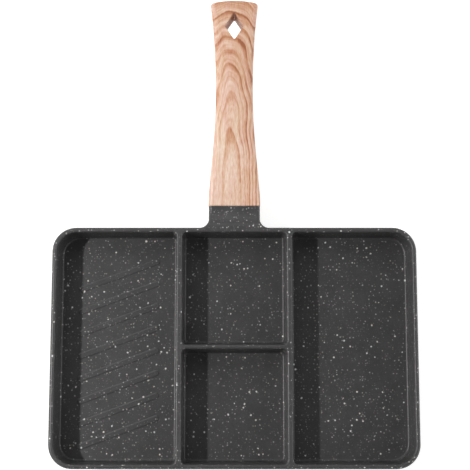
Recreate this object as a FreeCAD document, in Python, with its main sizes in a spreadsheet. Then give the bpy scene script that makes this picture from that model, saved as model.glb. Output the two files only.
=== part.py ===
import FreeCAD, Part
import math
import os
import re
import Sketcher

# Divided frying pan: a coated one-piece cast pan with four compartments, and a
# wood-effect handle held on the pan's tang by one screw and a spring washer.
# Millimetres and degrees. X runs along the pan's long side, Y towards the handle,
# Z up. The origin is the centre of the pan's underside.

SIZES = {
    # Pan shell, measured at the rim
    "pan_length": 321.5,
    "pan_breadth": 210.2,
    "pan_height": 34.5,
    "pan_corner": 21.2,
    "outer_draft": 4.0,
    "base_round": 4.0,
    "rim_thickness": 4.3,
    "rim_round": 2.4,
    # Compartments and the walls between them
    "compartment_depth": 30.0,
    "inner_draft": 1.8,
    "divider_spacing": 97.0,
    "divider_thickness": 5.0,
    "cross_divider_thickness": 3.3,
    "cross_divider_shift": 0.0,
    "cross_divider_draft": 4.5,
    "divider_corner": 4.0,
    "mouth_round": 1.6,
    "floor_fillet": 2.0,
    # Slanted ribs on the left floor
    "rib_count": 8.0,
    "rib_pitch": 20.0,
    "rib_shift": 5.0,
    "rib_slant": 20.3,
    "rib_length": 78.0,
    "rib_width": 6.0,
    "rib_height": 0.3,
    "rib_flank": 76.0,
    # Neck, cast with the pan, with a saddle-shaped top
    "neck_width": 45.5,
    "neck_length": 19.5,
    "neck_depth": 15.0,
    "neck_fillet": 8.0,
    "neck_belly_round": 4.0,
    "neck_crest": 10.0,
    "neck_dip": 26.0,
    "neck_lift": 11.0,
    # Tang, cast with the neck, inside the handle
    "tang_length": 42.0,
    "tang_width": 24.0,
    "tang_thickness": 7.0,
    "tang_corner": 2.0,
    "tang_setback": 2.5,
    "tang_taper": 1.0,
    "socket_clearance": 0.2,
    # Handle, given by six sections at equal steps from the seam to the end
    "grip_length": 185.0,
    "grip_rise": 14.2,
    "seam_step": 0.35,
    "seam_crown": 400.0,
    "grip_width_1": 40.8,
    "grip_width_2": 34.8,
    "grip_width_3": 33.2,
    "grip_width_4": 36.0,
    "grip_width_5": 43.2,
    "grip_depth_1": 18.0,
    "grip_depth_2": 19.5,
    "grip_depth_3": 22.0,
    "grip_depth_4": 23.5,
    "grip_depth_5": 25.0,
    "grip_corner_1": 5.0,
    "grip_corner_2": 6.0,
    "grip_corner_3": 6.5,
    "grip_corner_4": 6.0,
    "grip_corner_5": 4.5,
    "grip_crown_1": 130.0,
    "grip_crown_2": 60.0,
    "grip_crown_3": 45.0,
    "grip_crown_4": 60.0,
    "grip_crown_5": 110.0,
    "grip_end_bulge": 2.0,
    "grip_end_round": 2.0,
    "grip_front_bevel": 0.8,
    # Rhombus hanging hole, measured between its sharp corners
    "hang_length": 26.0,
    "hang_width": 17.0,
    "hang_setback": 23.55,
    "hang_corner": 1.2,
    "hang_round": 0.6,
    # Handle screw, spring washer and their recess
    "screw_setback": 24.0,
    "screw_diameter": 5.0,
    "screw_engagement": 5.5,
    "screw_fit": 0.05,
    "screw_passage": 0.3,
    "head_diameter": 9.4,
    "head_height": 2.8,
    "head_round": 1.0,
    "drive_width": 1.5,
    "drive_span": 5.4,
    "drive_depth": 1.7,
    "washer_diameter": 9.0,
    "washer_thickness": 1.0,
    "washer_gap": 0.8,
    "washer_play": 0.15,
    "recess_clearance": 0.6,
    "seat_wall": 2.0,
}
GRIP_SECTION_COUNT = 6
GRIP_CORNER_SHARE = 0.32
SLACK = 0.01

doc = FreeCAD.newDocument("divided_frying_pan")
sheet = doc.addObject("Spreadsheet::Sheet", "dims")
for row, (alias, size) in enumerate(SIZES.items(), start=1):
    sheet.set(f"A{row}", alias)
    sheet.set(f"B{row}", str(size))
    sheet.setAlias(f"B{row}", alias)
doc.recompute()


def on_sheet(formula):
    """Formula with each size name read from the sheet."""
    return re.sub(r"[a-z]\w*", lambda word: "dims." * (word[0] in SIZES) + word[0], formula)


def number(formula):
    """Value of a formula at the present sizes."""
    return float(sheet.evalExpression(on_sheet(formula)))


# Places and shapes that several pieces share, as formulas of the sizes

SEAM_Y = "(pan_breadth / 2 + neck_length)"
FLOOR_Z = "(pan_height - compartment_depth)"
DIVIDER_NEAR = "(divider_spacing / 2 - divider_thickness / 2)"
DIVIDER_FAR = "(divider_spacing / 2 + divider_thickness / 2)"
SIDE_INNER = "(pan_length / 2 - rim_thickness)"
END_INNER = "(pan_breadth / 2 - rim_thickness)"
CROSS_REAR = "(cross_divider_shift + cross_divider_thickness / 2)"
CROSS_FRONT = "(cross_divider_shift - cross_divider_thickness / 2)"
CROSS_SPREAD = "(compartment_depth * tan(cross_divider_draft))"
NECK_HOLLOW = "((neck_length - neck_crest * sin(neck_dip)) / (sin(neck_dip) + sin(neck_lift)))"
NECK_FALL = f"(neck_crest * (1 - cos(neck_dip)) + {NECK_HOLLOW} * (cos(neck_lift) - cos(neck_dip)))"
NECK_TOP = f"(pan_height - {NECK_FALL})"
NECK_BELLY = "(pan_height - neck_depth)"
SADDLE_WIDTH = "(neck_width + 4 * neck_fillet)"


def rise_at(distance):
    """Height that the handle gains at a distance from the seam: steep first, level at its end."""
    return f"(grip_rise * (1 - (1 - ({distance}) / grip_length) ^ 2))"


TANG_TOP = f"({NECK_TOP} - tang_setback)"
TANG_BELLY = f"({TANG_TOP} - tang_thickness)"
TANG_END_Y = f"({SEAM_Y} + tang_length)"
TANG_END_TOP = f"({TANG_TOP} + {rise_at('tang_length')} - tang_taper / 2)"
TANG_END_BELLY = f"({TANG_BELLY} + {rise_at('tang_length')} + tang_taper / 2)"
SCREW_Y = f"({SEAM_Y} + screw_setback)"
HEAD_NEAR = "((screw_setback - head_diameter / 2) / tang_length)"
TANG_OVER_HEAD = f"({TANG_BELLY} + ({TANG_END_BELLY} - {TANG_BELLY}) * {HEAD_NEAR})"
RECESS_FLOOR = f"({TANG_OVER_HEAD} - socket_clearance - seat_wall)"
HEAD_SEAT = f"({RECESS_FLOOR} - washer_thickness)"
TANG_OVER_SCREW = f"({TANG_BELLY} + ({TANG_END_BELLY} - {TANG_BELLY}) * screw_setback / tang_length)"
SCREW_TIP = f"({TANG_OVER_SCREW} + screw_engagement)"
GRIP_TOP = f"({NECK_TOP} + seam_step + grip_rise)"


def bind(item, prop, formula):
    item.setExpression(prop, on_sheet(formula))


def new_body(label):
    body = doc.addObject("PartDesign::Body", label)
    body.Label = label
    return body


def origin_item(body, role):
    return next(feature for feature in body.Origin.OriginFeatures if feature.Role == role)


def new_sketch(body, name, plane, height="0"):
    """Sketch on one of the body's origin planes, moved along the plane's normal."""
    sketch = body.newObject("Sketcher::SketchObject", name)
    sketch.AttachmentSupport = [(origin_item(body, plane), "")]
    sketch.MapMode = "FlatFace"
    bind(sketch, "AttachmentOffset.Base.z", height)
    return sketch


# Sketch geometry: drawn at the present sizes, then held there by bound constraints

START, END, CENTRE = range(1, 4)
LEVEL_AXIS, UPRIGHT_AXIS = range(-1, -3, -1)
ORIGIN = (LEVEL_AXIS, START)


def flat(x, y):
    return FreeCAD.Vector(x, y, 0)


def draw_line(sketch, begin, end):
    return sketch.addGeometry(Part.LineSegment(flat(*begin), flat(*end)), False)


def draw_arc(sketch, centre, radius, begin_degrees, end_degrees):
    circle = Part.Circle(flat(*centre), FreeCAD.Vector(0, 0, 1), radius)
    return sketch.addGeometry(
        Part.ArcOfCircle(circle, math.radians(begin_degrees), math.radians(end_degrees)), False
    )


def join(sketch, kind, items):
    """Closed loop: the end of each item on the start of the next, tangent or only coincident."""
    for i, item in enumerate(items):
        sketch.addConstraint(Sketcher.Constraint(kind, item, END, items[(i + 1) % len(items)], START))


def dimension(sketch, kind, target, formula):
    """Named dimension bound to a formula. Target holds the geometry and points that it measures."""
    name = f"size_{len(sketch.Constraints)}"
    index = sketch.addConstraint(Sketcher.Constraint(kind, *target, number(formula)))
    sketch.renameConstraint(index, name)
    bind(sketch, f"Constraints.{name}", formula)


def place(sketch, point, across=None, up=None):
    """Dimensions from the sketch's origin to a point, on whichever side of it the point lies."""
    for kind, axis, formula in (("DistanceX", UPRIGHT_AXIS, across), ("DistanceY", LEVEL_AXIS, up)):
        if formula is None:
            continue
        if abs(number(formula)) < 1e-9:
            sketch.addConstraint(Sketcher.Constraint("PointOnObject", *point, axis))
        elif number(formula) > 0:
            dimension(sketch, kind, (*ORIGIN, *point), formula)
        else:
            dimension(sketch, kind, (*point, *ORIGIN), f"-({formula})")


def draw_box(sketch, left, right, low, high, corners):
    """Rounded rectangle. Corner radii run low-left, low-right, high-right, high-left."""
    x0, x1, y0, y1 = (number(formula) for formula in (left, right, low, high))
    r = [number(formula) for formula in corners]
    centres = [
        (x0 + r[0], y0 + r[0]),
        (x1 - r[1], y0 + r[1]),
        (x1 - r[2], y1 - r[2]),
        (x0 + r[3], y1 - r[3]),
    ]
    arcs = [draw_arc(sketch, centres[i], r[i], 180 + 90 * i, 270 + 90 * i) for i in range(4)]
    lines = [
        draw_line(sketch, (centres[0][0], y0), (centres[1][0], y0)),
        draw_line(sketch, (x1, centres[1][1]), (x1, centres[2][1])),
        draw_line(sketch, (centres[2][0], y1), (centres[3][0], y1)),
        draw_line(sketch, (x0, centres[3][1]), (x0, centres[0][1])),
    ]
    join(sketch, "Tangent", [item for pair in zip(arcs, lines) for item in pair])
    for arc, radius in zip(arcs, corners):
        dimension(sketch, "Radius", (arc,), radius)
    for line, direction in zip(lines, ("Horizontal", "Vertical") * 2):
        sketch.addConstraint(Sketcher.Constraint(direction, line))
    place(sketch, (lines[0], START), up=low)
    place(sketch, (lines[1], START), across=right)
    place(sketch, (lines[2], START), up=high)
    place(sketch, (lines[3], START), across=left)


def draw_circle(sketch, radius, across, up):
    circle = Part.Circle(flat(number(across), number(up)), FreeCAD.Vector(0, 0, 1), number(radius))
    item = sketch.addGeometry(circle, False)
    dimension(sketch, "Radius", (item,), radius)
    place(sketch, (item, CENTRE), across, up)


def draw_polygon(sketch, points):
    """Closed polygon whose corners are pairs of formulas."""
    spots = [(number(across), number(up)) for across, up in points]
    lines = [draw_line(sketch, spots[i], spots[(i + 1) % len(spots)]) for i in range(len(spots))]
    join(sketch, "Coincident", lines)
    for line, (across, up) in zip(lines, points):
        place(sketch, (line, START), across, up)


# Features

def checked(body, feature):
    doc.recompute()
    if "Invalid" in feature.State or "Error" in feature.State:
        raise RuntimeError(f"{body.Label}: {feature.Name} failed")
    return feature


def add_pad(body, name, sketch, length, reverse=False, taper=None, both_ways=False):
    pad = body.newObject("PartDesign::Pad", name)
    pad.Profile = sketch
    pad.Reversed = reverse
    pad.Midplane = both_ways
    bind(pad, "Length", length)
    if taper:
        bind(pad, "TaperAngle", taper)
    return checked(body, pad)


def add_pocket(body, name, sketch, length, upward=False, taper=None, both_ways=False):
    """Pocket that has to take something away."""
    before = body.Shape.Volume
    pocket = body.newObject("PartDesign::Pocket", name)
    pocket.Profile = sketch
    pocket.Reversed = upward
    pocket.Midplane = both_ways
    bind(pocket, "Length", length)
    if taper:
        bind(pocket, "TaperAngle", taper)
    checked(body, pocket)
    if body.Shape.Volume >= before:
        raise RuntimeError(f"{body.Label}: {name} cut nothing")
    return pocket


def add_loft(body, name, kind, sketches):
    loft = body.newObject(f"PartDesign::{kind}Loft", name)
    loft.Profile = sketches[0]
    loft.Sections = sketches[1:]
    return checked(body, loft)


def add_fillet(body, name, radius, wanted):
    """Fillet on the edges of the body's present shape that pass the test, by middle and direction."""
    base = body.Tip
    names = []
    for i, edge in enumerate(base.Shape.Edges, start=1):
        halfway = (edge.FirstParameter + edge.LastParameter) / 2
        if wanted(edge.valueAt(halfway), edge.tangentAt(halfway)):
            names.append(f"Edge{i}")
    if not names:
        raise RuntimeError(f"{body.Label}: {name} found no edge")
    fillet = body.newObject("PartDesign::Fillet", name)
    fillet.Base = (base, names)
    bind(fillet, "Radius", radius)
    return checked(body, fillet)


def near(value, formula):
    return abs(value - number(formula)) < SLACK


# Pan

def pan_shell(body):
    """Drafted block with the rim's outline at its top, rounded round its base."""
    sketch = new_sketch(body, "rim_outline", "XY_Plane", "pan_height")
    draw_box(
        sketch, "-pan_length / 2", "pan_length / 2", "-pan_breadth / 2", "pan_breadth / 2", ["pan_corner"] * 4
    )
    add_pad(body, "shell", sketch, "pan_height", reverse=True, taper="-outer_draft")
    add_fillet(body, "base_edge", "base_round", lambda spot, heading: near(spot.z, "0"))


def pan_neck(body):
    """Bar from the far wall to the seam, blended into the wall, with its top hollowed to a saddle."""
    section = new_sketch(body, "neck_section", "XZ_Plane", f"-{SEAM_Y}")
    draw_neck_section(section)
    add_pad(body, "neck_bar", section, "neck_length + rim_thickness / 2")
    wall_y = number("pan_breadth / 2")
    wall_zone = number("pan_height * tan(outer_draft)")
    half_width = number("neck_width / 2")
    add_fillet(
        body,
        "neck_blend",
        "neck_fillet",
        lambda spot, heading: -wall_zone < spot.y - wall_y < 0
        and abs(spot.x) < half_width + SLACK
        and number(NECK_BELLY) - SLACK < spot.z < number("pan_height") - SLACK,
    )
    profile = new_sketch(body, "saddle_profile", "YZ_Plane")
    draw_saddle(profile)
    add_pocket(body, "saddle", profile, SADDLE_WIDTH, both_ways=True)


def draw_neck_section(sketch):
    """Flat-topped section with square top corners, which the rim's rounding later softens."""
    x1, y1 = number("neck_width / 2"), number("pan_height")
    y0, r = number(NECK_BELLY), number("neck_belly_round")
    items = [
        draw_arc(sketch, (-x1 + r, y0 + r), r, 180, 270),
        draw_line(sketch, (-x1 + r, y0), (x1 - r, y0)),
        draw_arc(sketch, (x1 - r, y0 + r), r, 270, 360),
        draw_line(sketch, (x1, y0 + r), (x1, y1)),
        draw_line(sketch, (x1, y1), (-x1, y1)),
        draw_line(sketch, (-x1, y1), (-x1, y0 + r)),
    ]
    for i, kind in enumerate(("Tangent", "Tangent", "Tangent", "Coincident", "Coincident", "Tangent")):
        sketch.addConstraint(Sketcher.Constraint(kind, items[i], END, items[(i + 1) % 6], START))
    for i, direction in ((1, "Horizontal"), (3, "Vertical"), (4, "Horizontal"), (5, "Vertical")):
        sketch.addConstraint(Sketcher.Constraint(direction, items[i]))
    sketch.addConstraint(Sketcher.Constraint("Equal", items[0], items[2]))
    dimension(sketch, "Radius", (items[0],), "neck_belly_round")
    place(sketch, (items[1], START), up=NECK_BELLY)
    place(sketch, (items[3], END), "neck_width / 2", "pan_height")
    place(sketch, (items[4], END), across="-neck_width / 2")


def draw_saddle(sketch):
    """Region above the neck's top line: over a crest at the rim, through a hollow, up to the seam."""
    rim_y, seam_y = number("pan_breadth / 2"), number(SEAM_Y)
    top, crest, hollow = number("pan_height"), number("neck_crest"), number(NECK_HOLLOW)
    dip, lift = number("neck_dip"), number("neck_lift")
    turn = (rim_y + crest * math.sin(math.radians(dip)), top - crest * (1 - math.cos(math.radians(dip))))
    hollow_centre = (
        turn[0] + hollow * math.sin(math.radians(dip)),
        turn[1] + hollow * math.cos(math.radians(dip)),
    )
    over = top + crest
    crest_arc = draw_arc(sketch, (rim_y, top - crest), crest, 90 - dip, 90)
    hollow_arc = draw_arc(sketch, hollow_centre, hollow, 270 - dip, 270 + lift)
    walls = [
        draw_line(sketch, (seam_y, number(NECK_TOP)), (seam_y, over)),
        draw_line(sketch, (seam_y, over), (rim_y, over)),
        draw_line(sketch, (rim_y, over), (rim_y, top)),
    ]
    sketch.addConstraint(Sketcher.Constraint("Tangent", crest_arc, START, hollow_arc, START))
    sketch.addConstraint(Sketcher.Constraint("Coincident", hollow_arc, END, walls[0], START))
    sketch.addConstraint(Sketcher.Constraint("Coincident", walls[0], END, walls[1], START))
    sketch.addConstraint(Sketcher.Constraint("Coincident", walls[1], END, walls[2], START))
    sketch.addConstraint(Sketcher.Constraint("Coincident", walls[2], END, crest_arc, END))
    for wall, direction in zip(walls, ("Vertical", "Horizontal", "Vertical")):
        sketch.addConstraint(Sketcher.Constraint(direction, wall))
    dimension(sketch, "Radius", (crest_arc,), "neck_crest")
    dimension(sketch, "Radius", (hollow_arc,), NECK_HOLLOW)
    place(sketch, (crest_arc, CENTRE), "pan_breadth / 2", "pan_height - neck_crest")
    place(sketch, (walls[0], START), SEAM_Y, NECK_TOP)
    place(sketch, (walls[0], END), up="pan_height + neck_crest")
    place(sketch, (walls[2], END), across="pan_breadth / 2")


def pan_tang(body):
    """Tongue that runs on from the neck into the handle, with the screw's hole through it."""
    tang_sketches = []
    for name, y, half_width, low, high in (
        ("tang_root", SEAM_Y, "tang_width / 2", TANG_BELLY, TANG_TOP),
        ("tang_tip", TANG_END_Y, "(tang_width - tang_taper) / 2", TANG_END_BELLY, TANG_END_TOP),
    ):
        sketch = new_sketch(body, name, "XZ_Plane", f"-{y}")
        draw_box(sketch, f"-{half_width}", half_width, low, high, ["tang_corner"] * 4)
        tang_sketches.append(sketch)
    add_loft(body, "tang", "Additive", tang_sketches)
    hole = new_sketch(body, "tang_hole_outline", "XY_Plane")
    draw_circle(hole, "screw_diameter / 2", "0", SCREW_Y)
    add_pocket(body, "tang_hole", hole, "2 * pan_height", upward=True)


def pan_compartments(body):
    """Three drafted compartments side by side, over the whole breadth of the pan."""
    outer, inner = "(pan_corner - rim_thickness)", "divider_corner"
    front_end = f"-{END_INNER}"
    layout = {
        "left": (f"-{SIDE_INNER}", f"-{DIVIDER_FAR}", front_end, END_INNER, [outer, inner, inner, outer]),
        "right": (DIVIDER_FAR, SIDE_INNER, front_end, END_INNER, [inner, outer, outer, inner]),
        "centre": (f"-{DIVIDER_NEAR}", DIVIDER_NEAR, front_end, END_INNER, [inner] * 4),
    }
    for name, (left, right, low, high, corners) in layout.items():
        sketch = new_sketch(body, f"{name}_outline", "XY_Plane", "pan_height")
        draw_box(sketch, left, right, low, high, corners)
        add_pocket(body, f"{name}_compartment", sketch, "compartment_depth", taper="-inner_draft")


def pan_cross_divider(body):
    """Wall across the centre compartment, thicker at its foot and rounded into the long dividers."""
    section = new_sketch(body, "cross_divider_section", "YZ_Plane")
    outline = [
        (f"{CROSS_FRONT} - {CROSS_SPREAD}", FLOOR_Z),
        (f"{CROSS_REAR} + {CROSS_SPREAD}", FLOOR_Z),
        (CROSS_REAR, "pan_height"),
        (CROSS_FRONT, "pan_height"),
    ]
    draw_polygon(section, outline)
    add_pad(body, "cross_divider", section, "divider_spacing", both_ways=True)
    foot_front, foot_rear = number(outline[0][0]), number(outline[1][0])
    add_fillet(
        body,
        "cross_divider_corners",
        "divider_corner",
        lambda spot, heading: abs(heading.z) > 0.9
        and foot_front < spot.y < foot_rear
        and abs(spot.x) < number(DIVIDER_NEAR),
    )


def pan_edges(body):
    """Rounded rim and dividers, and fillets round the compartment floors."""
    add_fillet(body, "floor_edges", "floor_fillet", lambda spot, heading: near(spot.z, FLOOR_Z))
    add_fillet(
        body,
        "mouth_edges",
        "mouth_round",
        lambda spot, heading: near(spot.z, "pan_height")
        and abs(spot.x) < number(SIDE_INNER) + SLACK
        and abs(spot.y) < number(END_INNER) + SLACK
        and max(abs(heading.x), abs(heading.y)) > 1 - SLACK,
    )
    add_fillet(
        body,
        "rim_edge",
        "rim_round",
        lambda spot, heading: near(spot.z, "pan_height") and near(spot.x, "-pan_length / 2"),
    )


def pan_ribs(body):
    """Low slanted ribs with sloping flanks, in a column on the left floor."""
    sketch = new_sketch(body, "rib_outline", "XY_Plane", FLOOR_Z)
    draw_rib(sketch)
    rib = add_pad(body, "rib", sketch, "rib_height", taper="-rib_flank")
    ribs = body.newObject("PartDesign::LinearPattern", "ribs")
    ribs.Originals = [rib]
    ribs.Direction = (origin_item(body, "Y_Axis"), [""])
    ribs.Mode = "Spacing"
    bind(ribs, "Offset", "rib_pitch")
    bind(ribs, "Occurrences", "rib_count")
    body.Tip = ribs
    checked(body, ribs)


RIB_X = f"(-({SIDE_INNER} + {DIVIDER_FAR}) / 2)"
FIRST_RIB_Y = "(-rib_shift - rib_pitch * (rib_count - 1) / 2)"


def draw_rib(sketch):
    """Slot outline of the nearest rib, slanted, with round ends."""
    radius, slant = number("rib_width / 2"), number("rib_slant")
    run = number("rib_length / 2") - radius
    along = (math.cos(math.radians(slant)), math.sin(math.radians(slant)))
    centre = (number(RIB_X), number(FIRST_RIB_Y))

    def spot(forward, sideways):
        return (
            centre[0] + forward * along[0] - sideways * along[1],
            centre[1] + forward * along[1] + sideways * along[0],
        )

    items = [
        draw_line(sketch, spot(-run, -radius), spot(run, -radius)),
        draw_arc(sketch, spot(run, 0), radius, slant - 90, slant + 90),
        draw_line(sketch, spot(run, radius), spot(-run, radius)),
        draw_arc(sketch, spot(-run, 0), radius, slant + 90, slant + 270),
    ]
    join(sketch, "Tangent", items)
    dimension(sketch, "Radius", (items[1],), "rib_width / 2")
    half_run = "(rib_length / 2 - rib_width / 2)"
    for arc, way in ((items[1], "+"), (items[3], "-")):
        place(
            sketch,
            (arc, CENTRE),
            f"{RIB_X} {way} {half_run} * cos(rib_slant)",
            f"{FIRST_RIB_Y} {way} {half_run} * sin(rib_slant)",
        )


# Handle

def section_place(i):
    """Distance of one of the handle's sections from the seam."""
    return f"grip_length * {i} / {GRIP_SECTION_COUNT - 1}"


def grip_section(i):
    """Width, top, belly, corner radii and crown radius of one of the handle's sections."""
    if i == 0:
        width = "(neck_width + 2 * seam_step)"
        top = f"({NECK_TOP} + seam_step)"
        belly = f"({NECK_BELLY} - seam_step)"
        return width, top, belly, "(rim_round + seam_step)", "(neck_belly_round + seam_step)", "seam_crown"
    top = f"({NECK_TOP} + seam_step + {rise_at(section_place(i))})"
    corner = f"min(grip_corner_{i}; {GRIP_CORNER_SHARE} * grip_depth_{i})"
    return f"grip_width_{i}", top, f"({top} - grip_depth_{i})", corner, corner, f"grip_crown_{i}"


def draw_grip_section(sketch, width, top, belly, top_corner, belly_corner, crown):
    """Crowned oval of eight pieces: a crown above and below, two upright sides and four corners."""
    half, bow = number(width) / 2, number(crown)
    sides = []
    for face, corner, way in ((belly, belly_corner, -1), (top, top_corner, 1)):
        level, radius = number(face), number(corner)
        bow_centre = level - way * bow
        reach = half - radius
        lift = math.sqrt((bow - radius) ** 2 - reach**2)
        turn = math.degrees(math.atan2(lift, reach))
        sides.append((bow_centre, reach, bow_centre + way * lift, radius, turn))
    (low_bow, low_reach, low_z, low_r, low_turn), (high_bow, high_reach, high_z, high_r, high_turn) = sides
    items = [
        draw_arc(sketch, (0, low_bow), bow, 180 + low_turn, 360 - low_turn),
        draw_arc(sketch, (low_reach, low_z), low_r, 360 - low_turn, 360),
        draw_line(sketch, (half, low_z), (half, high_z)),
        draw_arc(sketch, (high_reach, high_z), high_r, 0, high_turn),
        draw_arc(sketch, (0, high_bow), bow, high_turn, 180 - high_turn),
        draw_arc(sketch, (-high_reach, high_z), high_r, 180 - high_turn, 180),
        draw_line(sketch, (-half, high_z), (-half, low_z)),
        draw_arc(sketch, (-low_reach, low_z), low_r, 180, 180 + low_turn),
    ]
    join(sketch, "Tangent", items)
    radii = (crown, belly_corner, None, top_corner, crown, top_corner, None, belly_corner)
    for item, radius in zip(items, radii):
        if radius:
            dimension(sketch, "Radius", (item,), radius)
        else:
            sketch.addConstraint(Sketcher.Constraint("Vertical", item))
    place(sketch, (items[0], CENTRE), "0", f"{belly} + {crown}")
    place(sketch, (items[4], CENTRE), "0", f"{top} - {crown}")
    place(sketch, (items[2], START), across=f"{width} / 2")
    place(sketch, (items[6], START), across=f"-{width} / 2")


def handle_grip(body):
    """Grip lofted through its sections, with a bowed end and softened end edges."""
    sketches = []
    for i in range(GRIP_SECTION_COUNT):
        from_seam = section_place(i) if i else "grip_front_bevel"
        sketch = new_sketch(body, f"grip_section_{i}", "XZ_Plane", f"-({SEAM_Y} + {from_seam})")
        draw_grip_section(sketch, *grip_section(i))
        sketches.append(sketch)
    add_loft(body, "grip", "Additive", sketches)
    front = new_sketch(body, "front_section", "XZ_Plane", f"-{SEAM_Y}")
    width, top, belly, top_corner, belly_corner, crown = grip_section(0)
    draw_grip_section(
        front,
        f"({width} - 2 * grip_front_bevel)",
        f"({top} - grip_front_bevel)",
        f"({belly} + grip_front_bevel)",
        f"({top_corner} - grip_front_bevel)",
        f"({belly_corner} - grip_front_bevel)",
        crown,
    )
    add_loft(body, "front_bevel", "Additive", [front, sketches[0]])
    end = new_sketch(body, "end_outline", "XY_Plane")
    draw_end(end)
    add_pocket(body, "bowed_end", end, f"{GRIP_TOP} + grip_depth_5", upward=True)
    tip = number(f"{SEAM_Y} + grip_length")
    bulge = number("grip_end_bulge")
    add_fillet(body, "end_edges", "grip_end_round", lambda spot, heading: tip - bulge - 0.1 < spot.y)


END_BOW = "((grip_width_5 ^ 2 / 4 + grip_end_bulge ^ 2) / (2 * grip_end_bulge))"
END_REACH = "(0.6 * grip_width_5)"


def draw_end(sketch):
    """Region beyond the handle's bowed end."""
    bow, tip = number(END_BOW), number(f"{SEAM_Y} + grip_length")
    reach = number(END_REACH)
    turn = math.degrees(math.acos(reach / bow))
    shoulder = tip - bow + math.sqrt(bow**2 - reach**2)
    items = [
        draw_arc(sketch, (0, tip - bow), bow, turn, 180 - turn),
        draw_line(sketch, (-reach, shoulder), (-reach, tip + reach)),
        draw_line(sketch, (-reach, tip + reach), (reach, tip + reach)),
        draw_line(sketch, (reach, tip + reach), (reach, shoulder)),
    ]
    join(sketch, "Coincident", items)
    for item, direction in zip(items[1:], ("Vertical", "Horizontal", "Vertical")):
        sketch.addConstraint(Sketcher.Constraint(direction, item))
    dimension(sketch, "Radius", (items[0],), END_BOW)
    place(sketch, (items[0], CENTRE), "0", f"{SEAM_Y} + grip_length - {END_BOW}")
    place(sketch, (items[1], END), f"-{END_REACH}", f"{SEAM_Y} + grip_length + {END_REACH}")
    place(sketch, (items[3], START), across=END_REACH)


def handle_hanging_hole(body):
    """Rounded rhombus straight through the handle near its end, with softened mouths."""
    sketch = new_sketch(body, "hanging_outline", "XY_Plane")
    centre_y = f"({SEAM_Y} + grip_length - hang_setback)"
    draw_rhombus(sketch, centre_y)
    add_pocket(body, "hanging_hole", sketch, f"{GRIP_TOP} + grip_depth_5", upward=True)
    half_width, half_length, middle_y = number("hang_width / 2"), number("hang_length / 2"), number(centre_y)
    add_fillet(
        body,
        "hanging_mouths",
        "hang_round",
        lambda spot, heading: abs(spot.x) < half_width
        and abs(spot.y - middle_y) < half_length
        and abs(heading.z) < 0.9,
    )


def draw_rhombus(sketch, centre_y):
    """Rhombus longer along the handle than across it, with its four corners rounded."""
    r = number("hang_corner")
    long_inset = "(hang_corner * sqrt(1 + (hang_length / hang_width) ^ 2))"
    wide_inset = "(hang_corner * sqrt(1 + (hang_width / hang_length) ^ 2))"
    reach_y = number(f"hang_length / 2 - {long_inset}")
    reach_x = number(f"hang_width / 2 - {wide_inset}")
    y = number(centre_y)
    lean = math.degrees(math.atan2(number("hang_width"), number("hang_length")))
    centres = [(reach_x, y), (0, y + reach_y), (-reach_x, y), (0, y - reach_y)]
    spans = [(-lean, lean), (lean, 180 - lean), (180 - lean, 180 + lean), (180 + lean, 360 - lean)]
    arcs = [draw_arc(sketch, centre, r, *span) for centre, span in zip(centres, spans)]

    def on_arc(centre, degrees):
        turn = math.radians(degrees)
        return centre[0] + r * math.cos(turn), centre[1] + r * math.sin(turn)

    lines = [
        draw_line(sketch, on_arc(centres[i], spans[i][1]), on_arc(centres[(i + 1) % 4], spans[i][1]))
        for i in range(4)
    ]
    join(sketch, "Tangent", [item for pair in zip(arcs, lines) for item in pair])
    for arc in arcs:
        dimension(sketch, "Radius", (arc,), "hang_corner")
    place(sketch, (arcs[0], CENTRE), f"hang_width / 2 - {wide_inset}", centre_y)
    place(sketch, (arcs[1], CENTRE), "0", f"{centre_y} + hang_length / 2 - {long_inset}")
    place(sketch, (arcs[2], CENTRE), f"-(hang_width / 2 - {wide_inset})", centre_y)
    place(sketch, (arcs[3], CENTRE), "0", f"{centre_y} - hang_length / 2 + {long_inset}")


def handle_socket(body):
    """Socket for the tang, and below it the recess and passage for the screw."""
    sketches = []
    end_y, end_half = f"{TANG_END_Y} + socket_clearance", "(tang_width - tang_taper) / 2"
    for name, y, half_width, low, high in (
        ("socket_mouth", SEAM_Y, "tang_width / 2", TANG_BELLY, TANG_TOP),
        ("socket_end", end_y, end_half, TANG_END_BELLY, TANG_END_TOP),
    ):
        sketch = new_sketch(body, name, "XZ_Plane", f"-({y})")
        half = f"({half_width} + socket_clearance)"
        under, over = f"{low} - socket_clearance", f"{high} + socket_clearance"
        draw_box(sketch, f"-{half}", half, under, over, ["tang_corner + socket_clearance"] * 4)
        sketches.append(sketch)
    add_loft(body, "socket", "Subtractive", sketches)
    into_socket = f"{RECESS_FLOOR} + seat_wall + tang_thickness / 2"
    for name, radius, depth in (
        ("screw_recess", "head_diameter / 2 + recess_clearance", RECESS_FLOOR),
        ("screw_passage", "screw_diameter / 2 + screw_passage", into_socket),
    ):
        sketch = new_sketch(body, f"{name}_outline", "XY_Plane")
        draw_circle(sketch, radius, "0", SCREW_Y)
        add_pocket(body, name, sketch, depth, upward=True)


# Fixings

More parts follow.
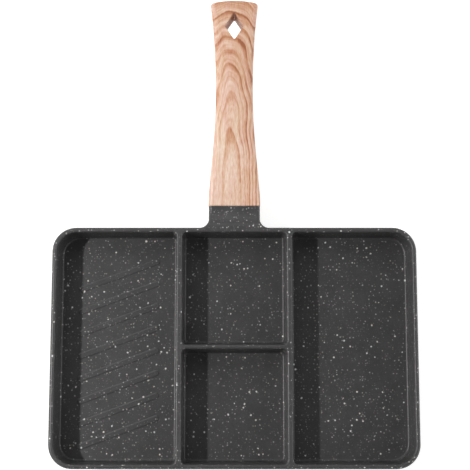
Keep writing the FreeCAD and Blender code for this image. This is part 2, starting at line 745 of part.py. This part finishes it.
def screw(body):
    """Pan-head screw, head down, with a cross drive in the head."""
    shank = new_sketch(body, "shank_outline", "XY_Plane", HEAD_SEAT)
    draw_circle(shank, "screw_diameter / 2 - screw_fit", "0", SCREW_Y)
    add_pad(body, "shank", shank, f"{SCREW_TIP} - {HEAD_SEAT}")
    head = new_sketch(body, "head_outline", "XY_Plane", HEAD_SEAT)
    draw_circle(head, "head_diameter / 2", "0", SCREW_Y)
    add_pad(body, "head", head, "head_height", reverse=True)
    head_bottom = f"({HEAD_SEAT} - head_height)"
    add_fillet(body, "head_edge", "head_round", lambda spot, heading: near(spot.z, head_bottom))
    drive = new_sketch(body, "drive_outline", "XY_Plane", head_bottom)
    arm, web = "drive_span / 2", "drive_width / 2"
    quarter = [(arm, f"-{web}"), (arm, web), (web, web)]
    corners = []
    for turn in range(4):
        for across, up in quarter:
            corners.append(turned(across, up, turn))
    draw_polygon(drive, [(across, f"{SCREW_Y} + ({up})") for across, up in corners])
    add_pocket(body, "drive", drive, "drive_depth", upward=True)


def turned(across, up, quarters):
    """Point turned about the origin by a number of right angles."""
    for _ in range(quarters):
        across, up = f"-({up})", across
    return across, up


def washer(body):
    """Split ring between the screw's head and the floor of its recess."""
    ring = new_sketch(body, "ring_outline", "XY_Plane", HEAD_SEAT)
    draw_circle(ring, "washer_diameter / 2", "0", SCREW_Y)
    draw_circle(ring, "screw_diameter / 2 + washer_play", "0", SCREW_Y)
    add_pad(body, "ring", ring, "washer_thickness")
    split = new_sketch(body, "split_outline", "XY_Plane", HEAD_SEAT)
    half_gap = "washer_gap / 2"
    draw_polygon(
        split,
        [
            ("0", f"{SCREW_Y} - {half_gap}"),
            ("washer_diameter", f"{SCREW_Y} - {half_gap}"),
            ("washer_diameter", f"{SCREW_Y} + {half_gap}"),
            ("0", f"{SCREW_Y} + {half_gap}"),
        ],
    )
    add_pocket(body, "split", split, "washer_thickness", upward=True)


PIECES = {
    "pan_body": (
        pan_shell,
        pan_neck,
        pan_tang,
        pan_compartments,
        pan_cross_divider,
        pan_edges,
        pan_ribs,
    ),
    "handle": (handle_grip, handle_hanging_hole, handle_socket),
    "handle_screw": (screw,),
    "spring_washer": (washer,),
}

bodies = []
for label, steps in PIECES.items():
    piece = new_body(label)
    for step in steps:
        step(piece)
    piece.Placement = FreeCAD.Placement()
    bodies.append(piece)
doc.recompute()

for item in doc.Objects:
    if "Invalid" in item.State or "Error" in item.State:
        raise RuntimeError(f"{item.Name} failed to build")
for piece in bodies:
    if piece.Shape.isNull() or not piece.Shape.isValid() or len(piece.Shape.Solids) != 1:
        raise RuntimeError(f"{piece.Label} isn't one valid solid")

os.makedirs("parts", exist_ok=True)
for piece in bodies:
    piece.Shape.exportStep(f"parts/{piece.Label}.step")
    print(piece.Label, round(piece.Shape.Volume), "mm3", piece.Shape.BoundBox)
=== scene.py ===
import math

import bpy
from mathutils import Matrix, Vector


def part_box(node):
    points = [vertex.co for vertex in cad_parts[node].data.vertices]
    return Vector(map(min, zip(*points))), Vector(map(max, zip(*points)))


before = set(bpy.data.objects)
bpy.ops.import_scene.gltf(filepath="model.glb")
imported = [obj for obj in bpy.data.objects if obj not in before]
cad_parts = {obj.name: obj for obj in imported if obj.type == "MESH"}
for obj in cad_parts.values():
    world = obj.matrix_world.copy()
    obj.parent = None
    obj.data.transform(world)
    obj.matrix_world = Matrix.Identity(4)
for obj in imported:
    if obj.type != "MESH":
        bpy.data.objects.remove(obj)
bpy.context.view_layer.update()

MM = 0.001
RIM_HEIGHT = 34.5 * MM

# The handle's start at the seam, and its length, in millimetres

grip_low, grip_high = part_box("handle")
SEAM_Y = grip_low.y / MM
GRIP_LENGTH = (grip_high.y - grip_low.y) / MM


# Colours

def linear(value):
    """Linear light of a screen value between 0 and 1."""
    return value / 12.92 if value <= 0.04045 else ((value + 0.055) / 1.055) ** 2.4


def srgb(red, green, blue):
    """Linear colour from 0 to 255 screen values."""
    return tuple(linear(value / 255) for value in (red, green, blue))


def grey(tone):
    return (tone,) * 3


# Node trees

class Tree:
    """Short calls for building a shader's node tree."""

    def __init__(self, tree):
        self.tree = tree

    def node(self, kind, **settings):
        made = self.tree.nodes.new(kind)
        for key, value in settings.items():
            setattr(made, key, value)
        return made

    def feed(self, socket, value):
        """Links another node's output to a socket, or sets the socket to a plain value."""
        if isinstance(value, bpy.types.NodeSocket):
            self.tree.links.new(value, socket)
        else:
            socket.default_value = value

    def result(self, kind, *values, **settings):
        """First output of a new node whose inputs are fed in order."""
        made = self.node(kind, **settings)
        for socket, value in zip(made.inputs, values):
            self.feed(socket, value)
        return made.outputs[0]

    def calculate(self, operation, *values):
        return self.result("ShaderNodeMath", *values, operation=operation)

    def add(self, a, b):
        return self.calculate("ADD", a, b)

    def subtract(self, a, b):
        return self.calculate("SUBTRACT", a, b)

    def times(self, a, b):
        return self.calculate("MULTIPLY", a, b)

    def scaled(self, vector, factors):
        return self.result("ShaderNodeVectorMath", vector, factors, operation="MULTIPLY")

    def moved(self, vector, by):
        return self.result("ShaderNodeVectorMath", vector, by, operation="ADD")

    def joined(self, x, y, z):
        return self.result("ShaderNodeCombineXYZ", x, y, z)

    def split(self, vector, kind="ShaderNodeSeparateXYZ"):
        """The three parts of a vector or, with the other kind of node, of a colour."""
        made = self.node(kind)
        self.feed(made.inputs[0], vector)
        return made.outputs

    def place(self):
        """Point on the surface in the part's own frame, in millimetres."""
        return self.scaled(self.node("ShaderNodeTexCoord").outputs["Object"], (1 / MM,) * 3)

    def noise_node(self, vector, size, detail=1.0, roughness=0.5):
        """Noise with features of about that size."""
        made = self.node("ShaderNodeTexNoise", noise_dimensions="3D")
        self.feed(made.inputs["Vector"], vector)
        made.inputs["Scale"].default_value = 1 / size
        made.inputs["Detail"].default_value = detail
        made.inputs["Roughness"].default_value = roughness
        return made

    def noise(self, vector, size, detail=1.0, roughness=0.5):
        """Noise as one value between 0 and 1."""
        return self.noise_node(vector, size, detail, roughness).outputs[0]

    def grain(self, place, rate, size):
        """Noise drawn out along the handle, where it changes at that rate against across."""
        return self.noise(self.scaled(place, (1.0, rate, 1.0)), size)

    def band(self, value, low, high, to_low=0.0, to_high=1.0, smooth=True):
        """Goes from to_low to to_high while the value goes from low to high, and stays level outside."""
        kind = "SMOOTHSTEP" if smooth else "LINEAR"
        return self.result("ShaderNodeMapRange", value, low, high, to_low, to_high, interpolation_type=kind)

    def ramp(self, value, stops):
        """Colour ramp through (position, colour) stops."""
        made = self.node("ShaderNodeValToRGB")
        elements = made.color_ramp.elements
        while len(elements) < len(stops):
            elements.new(0.5)
        for element, (position, colour) in zip(elements, stops):
            element.position = position
            element.color = (*colour, 1.0)
        self.feed(made.inputs[0], value)
        return made.outputs["Color"]

    def mix(self, factor, a, b, blend="MIX"):
        """Blend of two colours, which are outputs of other nodes or plain red, green and blue."""
        made = self.node("ShaderNodeMix", data_type="RGBA", blend_type=blend)
        self.feed(made.inputs["Factor"], factor)
        for name, value in (("A", a), ("B", b)):
            socket = next(s for s in made.inputs if s.name == name and s.type == "RGBA")
            self.feed(socket, (*value, 1.0) if isinstance(value, tuple) else value)
        return next(s for s in made.outputs if s.type == "RGBA")

    def bump(self, height, depth):
        """Bump whose height of 1 stands depth metres proud."""
        made = self.node("ShaderNodeBump")
        made.inputs["Strength"].default_value = 1.0
        made.inputs["Distance"].default_value = depth
        self.feed(made.inputs["Height"], height)
        return made.outputs[0]


def new_material(name):
    """New material, its node tree and its bare Principled shader."""
    material = bpy.data.materials.new(name)
    material.use_nodes = True
    shader = material.node_tree.nodes["Principled BSDF"]
    return material, Tree(material.node_tree), shader


def dress(node, material):
    """Gives a CAD node its material."""
    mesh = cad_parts[node].data
    mesh.materials.clear()
    mesh.materials.append(material)


# Coating: charcoal with pale specks in three sizes

COAT_TONE = srgb(66, 65, 66)
COAT_IOR = 1.45
MOTTLE = (
    # mottle, and the coat's tone there against its plain tone
    (0.28, 0.72),
    (0.5, 1.0),
    (0.72, 1.34),
)
CLOUD_SHARE = 0.45
GRIT_SHARE = 0.55

# Noises, here and below: size in mm, detail and, where it isn't the usual one, roughness

CLOUD = (16.0, 3.0, 0.6)
GRIT = (0.8, 2.0, 0.7)
PEEL = (1.4, 2.0, 0.55)
PEEL_DEPTH = 0.05 * MM

# A surface's roughness, here and below: the noise's range, and the roughness at each end of it

COAT_ROUGHNESS = (0.3, 0.7, 0.33, 0.46)

SPECKS = (
    # cell, smallest radius and largest radius in mm, share of cells, palest tone
    (2.0, 0.45, 0.72, 0.5, 0.27),
    (2.9, 0.55, 0.85, 0.5, 0.46),
    (5.0, 0.7, 1.05, 0.38, 0.8),
)

# A layer's dullest tone against its palest, and where in its radius a speck fades

DULLEST_SPECK = 0.35
SPECK_EDGE = (0.3, 1.15)

# How far specks stray and how soon that changes, in cells, and the size and colours of their tint

STRAY = 0.22
STRAY_SIZE = 0.5
TINT_SIZE = 5.0
SPECK_TINTS = ((0.35, (0.95, 0.98, 1.0)), (0.65, (1.0, 0.95, 0.88)))


def speck_layer(tree, place, cell, smallest, largest, share, palest):
    """Mask and tone of roundish specks, one at most in each cell of a random lattice."""
    stray = tree.moved(tree.noise_node(place, cell * STRAY_SIZE).outputs["Color"], (-0.5, -0.5, -0.5))
    cells = tree.node("ShaderNodeTexVoronoi", feature="F1", voronoi_dimensions="3D")
    tree.feed(cells.inputs["Vector"], tree.moved(place, tree.scaled(stray, (cell * STRAY,) * 3)))
    cells.inputs["Scale"].default_value = 1 / cell
    size_draw, share_draw, tone_draw = tree.split(cells.outputs["Color"], "ShaderNodeSeparateColor")
    radius = tree.band(size_draw, 0.0, 1.0, smallest / cell, largest / cell, smooth=False)
    from_middle = tree.calculate("DIVIDE", cells.outputs["Distance"], radius)
    dot = tree.band(from_middle, *SPECK_EDGE, 1.0, 0.0)
    present = tree.calculate("LESS_THAN", share_draw, share)
    tone = tree.band(tone_draw, 0.0, 1.0, palest * DULLEST_SPECK, palest, smooth=False)
    return tree.times(dot, present), tone


def coating():
    material, tree, shader = new_material("speckled_coating")
    place = tree.place()
    grit = tree.noise(place, *GRIT)
    mottle = tree.add(tree.times(tree.noise(place, *CLOUD), CLOUD_SHARE), tree.times(grit, GRIT_SHARE))
    colour = tree.ramp(mottle, [(at, tuple(tone * part for part in COAT_TONE)) for at, tone in MOTTLE])
    tint = tree.ramp(tree.noise(place, TINT_SIZE, detail=0.0), SPECK_TINTS)
    for layer in SPECKS:
        mask, tone = speck_layer(tree, place, *layer)
        speck_colour = tree.mix(1.0, tint, tree.joined(tone, tone, tone), "MULTIPLY")
        colour = tree.mix(mask, colour, speck_colour)
    tree.feed(shader.inputs["Base Color"], colour)
    tree.feed(shader.inputs["Roughness"], tree.band(grit, *COAT_ROUGHNESS))
    shader.inputs["IOR"].default_value = COAT_IOR
    tree.feed(shader.inputs["Normal"], tree.bump(tree.noise(place, *PEEL), PEEL_DEPTH))
    return material


# Wood effect: growth rings round a heart that sinks ever faster under the grip, which makes arches

# The heart's place across the grip, how far and over what length it sways, and how its depth grows, in mm

HEART_SIDE = -2.6
HEART_SWAY = 7.0
SWAY_LENGTH = 45.0
SINK = 0.0141
END_SINK = 37.0
END_SINK_REACH = 22.0

# The height of the grip's top at the seam, its rise to the end, and how much a depth under it counts

SEAM_TOP = 31.8
GRIP_RISE = 14.2
DEPTH_SHARE = 0.6

# Late wood: the largest ring in mm, the dark part of each ring, and how soon that ends in mm

RING_REACH = 46.0
LATE_WOOD = (
    # distance from the seam to the arch's tip in mm, width of its dark part and its darkness
    (12.0, 1.0, 0.15),
    (34.0, 1.6, 0.3),
    (71.0, 2.8, 0.9),
    (98.0, 1.0, 0.6),
    (112.0, 1.0, 0.5),
    (126.0, 1.7, 1.0),
    (140.0, 1.2, 0.8),
    (153.0, 1.6, 1.0),
    (163.0, 1.3, 0.8),
    (174.0, 1.6, 1.0),
)
LATE_END = 0.3

# Grain noises, each by its rate along the grip and its size in mm

RING_WARPS = (
    # rate, size, and how far the rings are moved, in mm
    (0.35, 15.0, 3.4),
    (0.2, 2.4, 0.45),
)
BREAKS = (0.4, 7.0)
PORES = (0.17, 0.9)
PATCHES = (0.3, 9.0)
BLUSH = (0.15, 5.0)

# Years, which follow the rings: their size in mm, their rate along, and the slice of noise that they are

YEARS_SIZE = 2.2
YEARS_ALONG = 0.02
YEARS_SLICE = 4.0

# Fine streaks: their size in mm, detail and roughness, and their rates along and up

STREAKS = (0.95, 2.0, 0.7)
STREAKS_ALONG = 0.05
STREAKS_UP = 0.3

# How much each of them counts in the figure

YEARS_WEIGHT = 0.3
STREAKS_WEIGHT = 1.15
PORES_WEIGHT = 0.45
PATCHES_WEIGHT = 0.3

# Slow changes: where each starts and ends, in mm or in its noise, and its value at each end

BREAKS_LEAVE = (0.3, 0.6, 0.55, 1.0)
LATE_ACROSS = (-14.0, 14.0, 0.42, 0.82)
ARCHED_ALONG = (40.0, 110.0, 0.15, 0.9)
CONTRAST_ALONG = (0.0, 90.0, 0.68, 0.88)
TONE_ALONG = (50.0, GRIP_LENGTH, 0.298, 0.485)
# Painted shade: how much the wood darkens for each mm across towards its right side, the side away from the
# key lamp
PAINTED_SHADE_PER_MM_ACROSS = 0.0035

WOOD_TONES = (
    (0.0, srgb(239, 223, 210)),
    (0.25, srgb(228, 199, 180)),
    (0.5, srgb(213, 170, 143)),
    (0.75, srgb(193, 136, 102)),
    (1.0, srgb(160, 100, 68)),
)
BLUSH_TONES = ((0.35, (1.0, 0.96, 0.99)), (0.65, (1.0, 1.01, 0.97)))
WOOD_ROUGHNESS = (0.3, 0.7, 0.42, 0.55)
WOOD_GLOSS = 0.4
GRAIN_DEPTH = 0.03 * MM


def heart_depth(from_seam):
    """Depth of the rings' heart under the handle's top, at a distance from the seam, in mm."""
    end_part = END_SINK * END_SINK_REACH * math.exp((from_seam - GRIP_LENGTH) / END_SINK_REACH)
    return math.sqrt(SINK * from_seam ** 2 + end_part)


def heart_depth_nodes(tree, from_seam):
    """The same depth, in a node tree."""
    past_end = tree.subtract(from_seam, GRIP_LENGTH)
    near_end = tree.calculate("EXPONENT", tree.times(past_end, 1 / END_SINK_REACH))
    end_part = tree.times(near_end, END_SINK * END_SINK_REACH)
    return tree.calculate("SQRT", tree.add(tree.times(tree.times(from_seam, from_seam), SINK), end_part))


def ring_radius(tree, place, from_seam):
    """Distance from the rings' heart, made a little uneven, in mm."""
    across, along, up = tree.split(place)
    sway = tree.times(tree.subtract(tree.noise(tree.joined(0.0, along, 0.0), SWAY_LENGTH), 0.5), HEART_SWAY)
    side = tree.subtract(across, tree.add(sway, HEART_SIDE))
    to_go = tree.times(tree.subtract(GRIP_LENGTH, from_seam), 1 / GRIP_LENGTH)
    top = tree.subtract(SEAM_TOP + GRIP_RISE, tree.times(tree.times(to_go, to_go), GRIP_RISE))
    below_top = tree.times(tree.subtract(top, up), DEPTH_SHARE)
    drop = tree.subtract(heart_depth_nodes(tree, from_seam), below_top)
    ring = tree.calculate("SQRT", tree.add(tree.times(side, side), tree.times(drop, drop)))
    for rate, size, strength in RING_WARPS:
        warp = tree.subtract(tree.grain(place, rate, size), 0.5)
        ring = tree.add(ring, tree.times(warp, strength))
    return ring


def late_wood(tree, ring):
    """Darkness of the wood at a distance from the heart: it grows outwards and ends sharply."""
    stops = []
    for tip, width, darkness in LATE_WOOD:
        edge = heart_depth(tip)
        for radius, value in ((edge - width, 0.0), (edge, darkness), (edge + LATE_END, 0.0)):
            stops.append((radius / RING_REACH, grey(value)))
    return tree.ramp(tree.times(ring, 1 / RING_REACH), sorted(stops))


def fine_streaks(tree, place, from_seam, ring):
    """Streaks that run straight near the seam and follow the arches further on."""
    across, along, up = tree.split(place)
    slowly = tree.times(along, STREAKS_ALONG)
    arched = tree.noise(tree.joined(ring, slowly, tree.times(up, STREAKS_UP)), *STREAKS)
    straight = tree.noise(tree.joined(across, slowly, up), *STREAKS)
    arched_share = tree.band(from_seam, *ARCHED_ALONG)
    straight_share = tree.subtract(1.0, arched_share)
    return tree.add(tree.times(arched, arched_share), tree.times(straight, straight_share))


def wood_effect():
    material, tree, shader = new_material("wood_effect")
    place = tree.place()
    across, along, _ = tree.split(place)
    from_seam = tree.subtract(along, SEAM_Y)
    ring = ring_radius(tree, place, from_seam)
    years = tree.noise(tree.joined(ring, tree.times(along, YEARS_ALONG), YEARS_SLICE), YEARS_SIZE)
    streaks = fine_streaks(tree, place, from_seam, ring)

    unbroken = tree.band(tree.grain(place, *BREAKS), *BREAKS_LEAVE)
    figure = tree.times(late_wood(tree, ring), unbroken)
    figure = tree.times(figure, tree.band(across, *LATE_ACROSS, smooth=False))
    for spread, weight in (
        (years, YEARS_WEIGHT),
        (streaks, STREAKS_WEIGHT),
        (tree.grain(place, *PORES), PORES_WEIGHT),
        (tree.grain(place, *PATCHES), PATCHES_WEIGHT),
    ):
        figure = tree.add(figure, tree.times(tree.subtract(spread, 0.5), weight))

    dark = tree.times(figure, tree.band(from_seam, *CONTRAST_ALONG))
    # Painted shade: darker towards the right side, away from the key lamp
    dark = tree.add(dark, tree.times(across, PAINTED_SHADE_PER_MM_ACROSS))
    dark = tree.add(dark, tree.band(from_seam, *TONE_ALONG, smooth=False))
    blush = tree.ramp(tree.grain(place, *BLUSH), BLUSH_TONES)
    tree.feed(shader.inputs["Base Color"], tree.mix(1.0, tree.ramp(dark, WOOD_TONES), blush, "MULTIPLY"))
    tree.feed(shader.inputs["Roughness"], tree.band(streaks, *WOOD_ROUGHNESS))
    shader.inputs["Specular IOR Level"].default_value = WOOD_GLOSS
    tree.feed(shader.inputs["Normal"], tree.bump(streaks, GRAIN_DEPTH))
    return material


# Steel of the screw and the washer, brushed round their upright axis

BRUSH_STRETCH = (1.0, 1.0, 12.0)
BRUSH = (0.6, 2.0)
BRUSH_DEPTH = 0.01 * MM
STEEL_TONES = ((0.3, (0.5, 0.49, 0.47)), (0.7, (0.66, 0.65, 0.63)))
STEEL_ROUGHNESS = (0.3, 0.7, 0.22, 0.4)


def fixing_steel():
    material, tree, shader = new_material("fixing_steel")
    brushed = tree.noise(tree.scaled(tree.place(), BRUSH_STRETCH), *BRUSH)
    tree.feed(shader.inputs["Base Color"], tree.ramp(brushed, STEEL_TONES))
    shader.inputs["Metallic"].default_value = 1.0
    tree.feed(shader.inputs["Roughness"], tree.band(brushed, *STEEL_ROUGHNESS))
    tree.feed(shader.inputs["Normal"], tree.bump(brushed, BRUSH_DEPTH))
    return material


steel = fixing_steel()
dress("pan_body", coating())
dress("handle", wood_effect())
dress("handle_screw", steel)
dress("spring_washer", steel)


# Floor: pale paper that keeps the shadow, and shows white

FLOOR_CORNERS = 96
FLOOR_RADIUS = 9.0
FLOOR_TONES = ((0.3, grey(0.48)), (0.7, grey(0.52)))
FLOOR_GRAIN = (3.0, 2.0)
FLOOR_ROUGHNESS = 0.9
FLOOR_GLOSS = 0.1
FLOOR_WHITE = 0.8


def show_white(tree, shader):
    """Adds plain white to a shader, for the camera, gloss and see-through rays only."""
    rays = tree.node("ShaderNodeLightPath").outputs
    gloss = tree.calculate("MAXIMUM", rays["Is Glossy Ray"], rays["Is Transmission Ray"])
    seen = tree.calculate("MAXIMUM", rays["Is Camera Ray"], gloss)
    glows = []
    for strength in (0.0, FLOOR_WHITE):
        glow = tree.node("ShaderNodeEmission")
        glow.inputs["Strength"].default_value = strength
        glows.append(glow.outputs[0])
    shown = tree.result("ShaderNodeMixShader", seen, *glows)
    return tree.result("ShaderNodeAddShader", shader.outputs[0], shown)


def make_floor():
    bpy.ops.mesh.primitive_circle_add(
        vertices=FLOOR_CORNERS, radius=FLOOR_RADIUS, fill_type="NGON", location=(0, 0, 0)
    )
    floor = bpy.context.object
    floor.name = "floor"
    material, tree, shader = new_material("floor_paper")
    grain = tree.noise(tree.place(), *FLOOR_GRAIN)
    tree.feed(shader.inputs["Base Color"], tree.ramp(grain, FLOOR_TONES))
    shader.inputs["Roughness"].default_value = FLOOR_ROUGHNESS
    shader.inputs["Specular IOR Level"].default_value = FLOOR_GLOSS
    output = material.node_tree.nodes["Material Output"]
    tree.feed(output.inputs["Surface"], show_white(tree, shader))
    floor.data.materials.append(material)


# Studio light: two bright sides, a soft panel overhead and a white surround low down

SIDES = (
    # place from far left, 0, to far right, 1, and brightness
    (0.0, 1.9),
    (0.25, 0.1),
    (0.74, 0.1),
    (1.0, 3.0),
)

# The way to the panel's middle, the cosines of the angles from there at which it fades out and is full

PANEL_WAY = Vector((-0.2, 0.58, 0.79)).normalized()
PANEL_EDGE = (0.94, 0.985)
PANEL_BRIGHTNESS = 2.1

# The surround's top, as the upward part of a direction, and how far below it the fade starts

SURROUND_TOP = 0.3
SURROUND_FADE = 0.1


def make_world():
    """Lights the part from the studio, and shows the camera plain white."""
    world = bpy.data.worlds.new("studio")
    bpy.context.scene.world = world
    world.use_nodes = True
    world.node_tree.nodes.clear()
    tree = Tree(world.node_tree)
    way = tree.node("ShaderNodeTexCoord").outputs["Generated"]
    across, _, height = tree.split(way)
    from_left = tree.band(across, -1.0, 1.0, smooth=False)
    sides = tree.ramp(from_left, [(at, grey(brightness)) for at, brightness in SIDES])
    to_panel = tree.node("ShaderNodeVectorMath", operation="DOT_PRODUCT")
    tree.feed(to_panel.inputs[0], way)
    to_panel.inputs[1].default_value = PANEL_WAY
    panel = tree.times(tree.band(to_panel.outputs["Value"], *PANEL_EDGE), PANEL_BRIGHTNESS)
    studio = tree.mix(1.0, sides, tree.joined(panel, panel, panel), "ADD")

    rays = tree.node("ShaderNodeLightPath").outputs
    gloss = tree.calculate("MAXIMUM", rays["Is Glossy Ray"], rays["Is Transmission Ray"])
    low_down = tree.band(height, SURROUND_TOP - SURROUND_FADE, SURROUND_TOP, 1.0, 0.0)
    white = tree.calculate("MAXIMUM", rays["Is Camera Ray"], tree.times(gloss, low_down))
    background = tree.node("ShaderNodeBackground")
    tree.feed(background.inputs["Color"], tree.mix(white, studio, grey(1.0)))
    background.inputs["Strength"].default_value = 1.0
    output = tree.node("ShaderNodeOutputWorld")
    tree.feed(output.inputs["Surface"], background.outputs[0])


# Key lamp: small, high on the left, so that each wall's shadow falls to its right

KEY_PLACE = Vector((-0.92, 0.02, 1.165))
KEY_AIM = Vector((0.0, 0.05, 0.02))
KEY_WATTS = 12.2
KEY_SIZE = 0.07
KEY_TONE = (1.0, 0.985, 0.965)


def make_key_light():
    lamp = bpy.data.lights.new("key", "AREA")
    lamp.shape = "DISK"
    lamp.size = KEY_SIZE
    lamp.energy = KEY_WATTS
    lamp.color = KEY_TONE
    key = bpy.data.objects.new("key", lamp)
    key.location = KEY_PLACE
    key.rotation_euler = (KEY_AIM - KEY_PLACE).to_track_quat("-Z", "Y").to_euler()
    bpy.context.scene.collection.objects.link(key)


# Camera: the photograph's view, nearly straight down from a little in front of the part's middle

# The photograph's width and the lens's focal length, both in pixels

PHOTO_PIXELS = 470.0
FOCAL_PIXELS = 1110.4
SENSOR_WIDTH = 36.0
CAMERA_AIM = Vector((0.0006, 0.09805, RIM_HEIGHT))
CAMERA_DISTANCE = 0.980
CAMERA_TILT = math.radians(8.0)
CAMERA_CLIP = (0.05, 50.0)


def make_camera():
    lens = bpy.data.cameras.new("camera")
    lens.sensor_width = SENSOR_WIDTH
    lens.lens = SENSOR_WIDTH * FOCAL_PIXELS / PHOTO_PIXELS
    lens.clip_start, lens.clip_end = CAMERA_CLIP
    camera = bpy.data.objects.new("camera", lens)
    back = Vector((0.0, -math.sin(CAMERA_TILT), math.cos(CAMERA_TILT)))
    camera.location = CAMERA_AIM + CAMERA_DISTANCE * back
    camera.rotation_euler = (CAMERA_TILT, 0.0, 0.0)
    bpy.context.scene.collection.objects.link(camera)
    bpy.context.scene.camera = camera


make_floor()
make_world()
make_key_light()
make_camera()
bpy.context.scene.view_settings.view_transform = "Standard"
